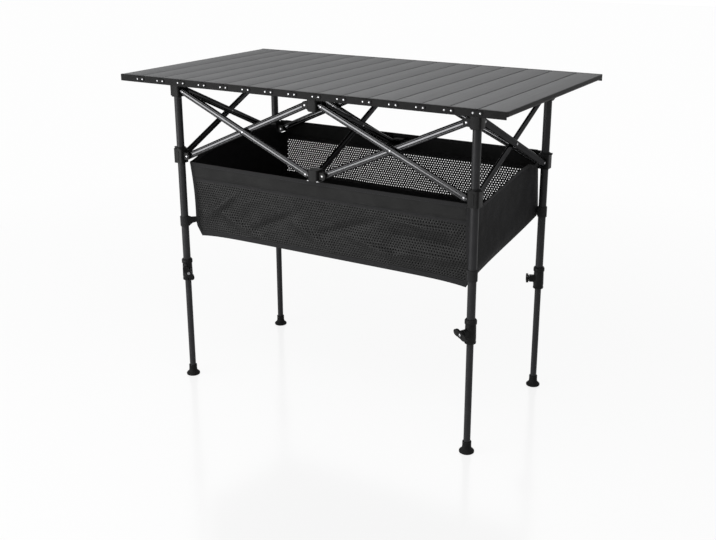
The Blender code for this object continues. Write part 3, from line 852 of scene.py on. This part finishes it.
def soft_curve(values, share):
    """A smooth curve through even steps, by its share from 0 to 1."""
    place = min(max(share, 0.0), 1.0) * (len(values) - 1)
    k = min(int(place), len(values) - 2)
    t = place - k
    p = [values[min(max(k + j, 0), len(values) - 1)] for j in (-1, 0, 1, 2)]
    return 0.5 * (2 * p[1] + (p[2] - p[0]) * t + (2 * p[0] - 5 * p[1] + 4 * p[2] - p[3]) * t ** 2
                  + (3 * p[1] - p[0] - 3 * p[2] + p[3]) * t ** 3)


def front_half(share):
    """Half the front's width: drawn in below the band, out at the leg loops, cut off at the bottom."""
    drawn_in = 3.5 * MM * sin(pi * min(1.0, share / 0.78))
    return FRONT_X - drawn_in - FRONT_CORNER_CUT * eased(0.84, 1.04, share)


def front_y(share):
    """The front wall leans: Y by its share from top to bottom."""
    return FRONT_TOP_Y + (FRONT_LOW_Y - FRONT_TOP_Y) * share


def wall_fold(folds, u, v, across, share, band):
    """How far a wall's folds stand out: none at its side edges, on its band and at its bottom."""
    edge = 1 - min(1.0, abs(across)) ** 8
    height = sum(soft_ridge(u, v, *values[:5], values[5] * MM) for values in folds) * edge
    return height * (eased(band, band + 25 * MM, v) * (1 - eased(0.90, 1.0, share)))


def front_place(u, v):
    """The front panel: u along X at the top, v down from its top edge, in metres."""
    share = v / FRONT_DEPTH
    across = u / FRONT_X
    fold = wall_fold(FRONT_FOLDS, u, v, across, share, FRONT_BAND)
    sag = 1.8 * MM * (1 - across ** 2) * (1 - share) + 6 * MM * share * across ** 8
    return Vector((across * front_half(share), front_y(share) - fold, BAND_TOP_Z - v - sag))


def rear_half(share):
    return REAR_TOP_X + (REAR_LOW_X - REAR_TOP_X) * share


def rear_place(u, v):
    """The rear panel, which starts higher than the front one and ends higher."""
    share = v / REAR_DEPTH
    across = u / REAR_TOP_X
    fold = wall_fold(REAR_FOLDS, -u, v, across, share, REAR_BAND)
    return Vector((across * rear_half(share), REAR_Y + fold, REAR_TOP_Z - v))


def hem_z(share):
    """Height of the bottom, by its share from front to back."""
    return HEM_Z + HEM_LIFT * share


def side_place(sign):
    tops = SIDE_TOPS[sign]

    def place(u, v):
        """A side panel: u back from its front edge, v down from its top edge."""
        share = v / FRONT_DEPTH
        back = u / SIDE_LENGTH
        rise = soft_curve(tops, back)
        top = BAND_TOP_Z + (rise + (SIDE_NOTCH - rise) * eased(0.86, 0.935, back)) * MM
        low = hem_z(back) - 6 * MM * (1 - back) ** 6
        z = top + (low - top) * share
        drawn = front_half(share) + (rear_half(share) - front_half(share)) * eased(0.0, 1.0, back)
        slack = 3.0 * MM * sin(pi * back) * sin(pi * share)
        crease = soft_ridge(u, v, 0.10, 0.08, 0.8, 0.016, 0.09, 1.6 * MM)
        crease += soft_ridge(u, v, 0.26, 0.10, -0.7, 0.018, 0.09, 1.8 * MM)
        crease *= sin(pi * back) * sin(pi * share)
        y = front_y(share) + (REAR_Y - front_y(share)) * back
        return Vector((sign * (drawn - slack - crease), y, z))
    return place


def floor_place(u, v):
    """The floor: u along X, v back from the front hem."""
    back = v / (REAR_Y - FRONT_LOW_Y)
    across = abs(u) / front_half(1)
    dip = 6 * MM * across ** 8 * (1 - back) ** 6
    half = front_half(1) + (rear_half(1) - front_half(1)) * eased(0.0, 1.0, back)
    rear_lip = eased(0.975, 1.0, back)
    front_lip = 1 - eased(0.0, 0.025, back)
    side_lip = eased(0.968, 1.0, across)
    x = u * half / front_half(1) - copysign(1.6 * MM * side_lip, u)
    rise = max(9 * MM * rear_lip, 6 * MM * front_lip, 7 * MM * side_lip)
    y = FRONT_LOW_Y + v + 1.6 * MM * (front_lip - rear_lip)
    return Vector((x, y, hem_z(back) - 1.0 * MM - dip + rise))


def add_face(bm, uv, corners):
    """A face from its corners, each a vertex with its cloth coordinates."""
    face = bm.faces.new([vertex for vertex, _ in corners])
    for loop, (_, flat) in zip(face.loops, corners):
        loop[uv].uv = flat


def grid(place, u_range, v_range):
    """A sheet over a range of cloth coordinates, with its coordinates kept in metres."""
    (u0, u1), (v0, v1) = u_range, v_range
    columns = max(2, round((u1 - u0) / GRID_STEP))
    rows = max(2, round((v1 - v0) / GRID_STEP))
    flat = [[(u0 + (u1 - u0) * i / columns, v0 + (v1 - v0) * j / rows) for j in range(rows + 1)]
            for i in range(columns + 1)]
    bm = bmesh.new()
    uv = bm.loops.layers.uv.new("UVMap")
    verts = [[bm.verts.new(place(*point)) for point in row] for row in flat]
    for i in range(columns):
        for j in range(rows):
            corners = ((i, j), (i + 1, j), (i + 1, j + 1), (i, j + 1))
            add_face(bm, uv, [(verts[a][b], flat[a][b]) for a, b in corners])
    return bm


def net(place, u_range, v_range):
    """A knitted net: a honeycomb of threads with six-sided holes."""
    (u0, u1), (v0, v1) = u_range, v_range
    pitch_v = NET_PITCH * sqrt(3) / 2
    columns = int((u1 - u0) / NET_PITCH)
    rows = int((v1 - v0) / pitch_v)
    fit_u = (u1 - u0) / (columns + 0.5)
    fit_v = (v1 - v0) / (rows + 1 / 3)
    radius = NET_PITCH / sqrt(3)
    bm = bmesh.new()
    uv = bm.loops.layers.uv.new("UVMap")
    known = {}

    def vertex(u, v):
        u, v = min(max(u, u0), u1), min(max(v, v0), v1)
        key = (round(u * 2e5), round(v * 2e5))
        if key not in known:
            known[key] = bm.verts.new(place(u, v))
        return known[key], (u, v)

    for row in range(rows):
        for column in range(columns):
            middle_u = u0 + fit_u * (column + 0.5 + 0.5 * (row % 2))
            middle_v = v0 + fit_v * (row + 2 / 3)
            outer, inner = [], []
            for k in range(6):
                angle = pi / 6 + pi / 3 * k
                du = cos(angle) * radius * fit_u / NET_PITCH
                dv = sin(angle) * radius * fit_v / pitch_v
                outer.append(vertex(middle_u + du, middle_v + dv))
                inner.append(vertex(middle_u + du * NET_HOLE, middle_v + dv * NET_HOLE))
            for k in range(6):
                quad = (outer[k], outer[(k + 1) % 6], inner[(k + 1) % 6], inner[k])
                if len({id(v) for v, _ in quad}) == 4:
                    add_face(bm, uv, quad)
    return bm


def cloth(name, bm, material, body, thickness):
    """A sheet of cloth with its thickness."""
    made = show(name, bm, material, body, sharp=60)
    solid = made.modifiers.new("thickness", "SOLIDIFY")
    solid.thickness = thickness
    solid.offset = 0
    return made


def surface_normal(place, u, v):
    step = 1 * MM
    across_u = place(u + step, v) - place(u - step, v)
    across_v = place(u, v + step) - place(u, v - step)
    return across_u.cross(across_v).normalized()


def tape(place, start, end, count, wide, thick):
    """A folded tape from start to end in cloth coordinates, which wraps both faces."""
    along_u = start[1] == end[1]
    bm = bmesh.new()
    uv = bm.loops.layers.uv.new("UVMap")
    rings = []
    length = 0.0
    last = None
    for k in range(count + 1):
        u, v = (a + (b - a) * k / count for a, b in zip(start, end))
        here = place(u, v)
        length += (here - last).length if last else 0.0
        last = here
        ring = []
        for share in (-1, 1):
            a, b = (u, v + share * wide / 2) if along_u else (u + share * wide / 2, v)
            centre = place(a, b)
            normal = surface_normal(place, a, b)
            pair = [centre + normal * thick / 2, centre - normal * thick / 2]
            ring += pair if share < 0 else pair[::-1]
        rings.append(([bm.verts.new(p) for p in ring], length))
    for (low, a), (high, b) in zip(rings, rings[1:]):
        for k in range(4):
            j = (k + 1) % 4
            add_face(bm, uv, [(low[k], (a, k * wide)), (low[j], (a, j * wide)), (high[j], (b, j * wide)),
                              (high[k], (b, k * wide))])
    bm.faces.new(rings[0][0])
    bm.faces.new(rings[-1][0])
    return bm


def stitches(place, start, end, lift):
    """Short thread stitches from start to end in cloth coordinates, on both faces."""
    bm = bmesh.new()
    (u0, v0), (u1, v1) = start, end
    count = int(hypot(u1 - u0, v1 - v0) / STITCH_PITCH)
    du, dv = (u1 - u0) / count, (v1 - v0) / count
    half, wide, sunk, crest = STITCH_LONG / 2, 0.3 * MM, 0.1 * MM, 0.34 * MM
    for k in range(count):
        u, v = u0 + du * (k + 0.5), v0 + dv * (k + 0.5)
        centre = place(u, v)
        normal = surface_normal(place, u, v)
        along = (place(u + du / 4, v + dv / 4) - place(u - du / 4, v - dv / 4)).normalized()
        side = normal.cross(along)
        for face in (-1, 1):
            turn = axes(along, side, normal * face, centre + normal * face * lift)
            verts = [bm.verts.new(turn @ Vector(p)) for p in (
                (-half, 0, -sunk), (0, -wide, sunk), (half, 0, -sunk), (0, wide, sunk), (0, 0, crest),
                (0, 0, -wide))]
            for a, b in ((0, 1), (1, 2), (2, 3), (3, 0)):
                bm.faces.new((verts[a], verts[b], verts[4]))
                bm.faces.new((verts[b], verts[a], verts[5]))
    return bm


def fold_width(made):
    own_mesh(made)


def fold_depth(made):
    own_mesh(made)


def make_wall(name, place, half, deep, top_band, body):
    """The band, net, binding and stitching of the front or the rear wall."""
    def hem(v, wide, thick):
        return tape(place, (-half, v), (half, v), 60, wide * MM, thick * MM)

    def post(u):
        return tape(place, (u, 0), (u, deep), 16, 8 * MM, 2.1 * MM)

    band = cloth(f"{name}_band", grid(place, (-half, half), (0, top_band)), BAND, body, CLOTH_THICK)
    mesh = cloth(f"{name}_net", net(place, (-half, half), (top_band - 2 * MM, deep - 6 * MM)), NET, body,
                 NET_THICK)
    tapes = joined([hem(4 * MM, 9, 1.9), hem(top_band, 7, 1.5), hem(deep - 5 * MM, 12, 1.7),
                    post(-half + 4 * MM), post(half - 4 * MM)])
    binding = show(f"{name}_binding", tapes, TAPE, body, sharp=60)
    seams = joined([stitches(place, (-half, v), (half, v), lift) for v, lift in (
        (7 * MM, 1.0 * MM), (top_band + 2 * MM, 0.8 * MM), (deep - 9 * MM, 0.9 * MM))])
    stitching = show(f"{name}_stitching", seams, THREAD, body)
    pieces = band, mesh, binding, stitching
    for made in pieces:
        fold_width(made)
    return pieces


def make_side(side, sign):
    body = f"front_{side}_slider"
    place = side_place(sign)
    low = FRONT_DEPTH - 3 * MM
    sheet = grid(place, (0, SIDE_LENGTH), (0, FRONT_DEPTH))
    panel = cloth(f"basket_{side}_side", sheet, CLOTH, body, CLOTH_THICK)
    hems = joined([tape(place, (0, v), (SIDE_LENGTH, v), 34, 9 * MM, thick)
                   for v, thick in ((4 * MM, 1.9 * MM), (low, 1.7 * MM))])
    binding = show(f"basket_{side}_binding", hems, TAPE, body, sharp=60)
    seams = joined([stitches(place, (0, v), (SIDE_LENGTH, v), 1.0 * MM)
                    for v in (7 * MM, FRONT_DEPTH - 9 * MM)])
    stitching = show(f"basket_{side}_stitching", seams, THREAD, body)
    for made in (panel, binding, stitching):
        fold_depth(made)


def make_floor():
    """A rear strip that rides with the rear wall, and three pieces before it that ride the front hubs."""
    deep = REAR_Y - FRONT_LOW_Y
    half = front_half(1)
    main = (0, deep - FLOOR_STRIP)
    strip = (deep - FLOOR_STRIP - FLOOR_LAP, deep)
    for name, body, across, along, drop, wall in (
            ("left", "front_left_slider", (-half, FLOOR_LAP - FLOOR_CUT), main, 1, "front"),
            ("middle", "front_centre_lower", (-FLOOR_CUT - FLOOR_LAP, FLOOR_CUT + FLOOR_LAP), main, 2,
             "front"),
            ("right", "front_right_slider", (FLOOR_CUT - FLOOR_LAP, half), main, 3, "front"),
            ("rear", "back_centre_lower", (-half, half), strip, 0, "rear")):
        down = UP * (drop * FLOOR_DROP * MM)
        panel = cloth(f"basket_floor_{name}", grid(lambda u, v: floor_place(u, v) - down, across, along),
                      CLOTH, body, CLOTH_THICK)
        if along is main:
            fold_depth(panel)
        else:
            fold_width(panel)


def make_basket():
    front = make_wall("basket_front", front_place, FRONT_X, FRONT_DEPTH, FRONT_BAND, "front_centre_lower")
    rear = make_wall("basket_rear", rear_place, REAR_TOP_X, REAR_DEPTH, REAR_BAND, "back_centre_lower")
    make_side("left", -1)
    make_side("right", 1)
    make_floor()
    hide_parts("storage_basket")


def joined(parts):
    """Several bmeshes as one."""
    base = parts[0]
    for part in parts[1:]:
        mesh = bpy.data.meshes.new("part")
        part.to_mesh(mesh)
        part.free()
        base.from_mesh(mesh)
        bpy.data.meshes.remove(mesh)
    return base


def make_loops():
    """The webbing loops round the legs with a narrower strap to the basket, and the rear top tabs."""
    for corner, (x, y, _, _) in CORNERS.items():
        out_x, out_y = (1 if x > 0 else -1), (1 if y > 0 else -1)
        z = LOOP_Z[out_y]
        if out_y > 0:
            seam = Vector((out_x * rear_half((REAR_TOP_Z - z) / REAR_DEPTH), REAR_Y))
        else:
            share = (BAND_TOP_Z - z) / FRONT_DEPTH
            seam = Vector((out_x * front_half(share), front_y(share)))
        middle = Vector((x, y))
        towards = seam - middle
        start = atan2(towards.y, towards.x)
        ring = [start + LOOP_OPENING + (tau - 2 * LOOP_OPENING) * k / 28 for k in range(29)]
        points = [middle + Vector((cos(a), sin(a))) * LOOP_RADIUS for a in ring]
        stations = [(seam, STRAP_HALF), (seam.lerp(points[0], 0.55), STRAP_HALF)]
        stations += [(point, LOOP_HALF) for point in points]
        stations += [(seam.lerp(points[-1], 0.55), STRAP_HALF), (seam, STRAP_HALF)]
        bm = bmesh.new()
        rings = []
        for k, (point, half) in enumerate(stations):
            before, after = stations[max(0, k - 1)][0], stations[min(len(stations) - 1, k + 1)][0]
            along = (after - before).normalized()
            normal = Vector((along.y, -along.x))
            rings.append([bm.verts.new((*(point + normal * s), z + h)) for s, h in (
                (-LOOP_THICK, -half), (LOOP_THICK, -half), (LOOP_THICK, half), (-LOOP_THICK, half))])
        loft(bm, rings)
        body = f"{corner}_slider"
        show(f"{corner}_leg_loop", bm, TAPE, body, 0.4 * MM, sharp=50)

        if out_y > 0:
            place = (out_x * (REAR_TOP_X + TAB_HALF - 5 * MM), 0, REAR_TOP_Z - 15 * MM)
            tab = prism_part(rounded_rectangle(TAB_HALF, 14.5 * MM, 2 * MM, 3), REAR_Y - 0.6 * MM,
                             REAR_Y + 1.0 * MM, axes(X, (0, 0, -1), Y, place))
            show(f"{corner}_top_tab", tab, TAPE, body, 0.4 * MM, sharp=50)


# Stage, light and camera


def make_stage():
    """A pale floor that keeps a soft shadow round the table and turns plain white further out."""
    bm = bmesh.new()
    add_prism(bm, [(-12, -12), (12, -12), (12, 12), (-12, 12)], -0.02, 0.0)
    made = placed("studio_floor", mesh_from(bm, "studio_floor"))
    n = Look("studio_floor", 0.6)
    n.shader.inputs["Base Color"].default_value = (*grey(0.92), 1)
    far = n.add("ShaderNodeMapRange",
                **{"From Min": 0.9, "From Max": 2.2, "To Min": FLOOR_GLOW, "To Max": 1.0})
    length = n.add("ShaderNodeVectorMath", operation="LENGTH")
    n.link(n.place(), length.inputs[0])
    n.link(length.outputs["Value"], far.inputs["Value"])
    glow = n.add("ShaderNodeEmission", Strength=1.0)
    mirror = n.add("ShaderNodeBsdfGlossy", Roughness=0.16)
    matte = n.add("ShaderNodeMixShader")
    n.link(n.math("MULTIPLY", n.in_view(), far.outputs["Result"]), matte.inputs["Fac"])
    n.link(n.shader.outputs[0], matte.inputs[1])
    n.link(glow.outputs[0], matte.inputs[2])
    polish = n.add("ShaderNodeMixShader", Fac=0.07)
    n.link(matte.outputs[0], polish.inputs[1])
    n.link(mirror.outputs[0], polish.inputs[2])
    n.link(polish.outputs[0], n.tree.nodes["Material Output"].inputs["Surface"])
    made.data.materials.append(n.material)


def make_world():
    """White where it is seen, and a plain soft light elsewhere."""
    world = bpy.data.worlds.new("studio")
    bpy.context.scene.world = world
    world.use_nodes = True
    n = Nodes(world.node_tree)
    background = n.tree.nodes["Background"]
    background.inputs["Color"].default_value = (1, 1, 1, 1)
    strength = n.add("ShaderNodeMapRange", **{"To Min": WORLD_LIGHT, "To Max": 1.0})
    n.link(n.in_view(), strength.inputs["Value"])
    n.link(strength.outputs["Result"], background.inputs["Strength"])


def make_lamp(name, place, aim, size, power):
    data = bpy.data.lights.new(name, "AREA")
    data.shape = "RECTANGLE"
    data.size, data.size_y = size
    data.energy = power
    lamp = placed(name, data)
    lamp.location = place
    lamp.visible_camera = False
    lamp.rotation_mode = "QUATERNION"
    lamp.rotation_quaternion = (Vector(aim) - Vector(place)).to_track_quat("-Z", "Y")


def make_camera():
    data = bpy.data.cameras.new("camera")
    data.lens = CAMERA_LENS
    data.sensor_width = 36
    data.shift_y = CAMERA_SHIFT_Y
    camera = placed("camera", data)
    back = Vector((sin(CAMERA_AZIMUTH) * cos(CAMERA_ELEVATION),
                   -cos(CAMERA_AZIMUTH) * cos(CAMERA_ELEVATION), sin(CAMERA_ELEVATION)))
    right = (-back).cross(UP).normalized()
    above = right.cross(-back)
    x = right * cos(CAMERA_ROLL) + above * sin(CAMERA_ROLL)
    y = above * cos(CAMERA_ROLL) - right * sin(CAMERA_ROLL)
    camera.matrix_world = axes(x, y, back, CAMERA_PLACE)
    bpy.context.scene.camera = camera


make_camera()
make_world()
make_stage()
make_lamp("key_light", (-1.25, -2.3, 1.9), (0, 0, 0.62), (3.2, 2.2), 26)
make_lamp("low_light", (-1.2, -2.05, 0.28), (0, -0.2, 0.5), (1.8, 0.45), 38)
make_lamp("fill_light", (2.6, -1.2, 1.8), (0, 0, 0.5), (1.4, 1.4), 5)
make_lamp("top_light", (0.25, -0.75, 2.1), (0, 0, 0.7), (1.6, 1.2), 18)
make_slats()
make_edge_rails()
make_bars()
make_hubs()
for name in CORNERS:
    make_leg(name)
make_basket()
make_loops()
bpy.context.scene.view_settings.view_transform = "Standard"
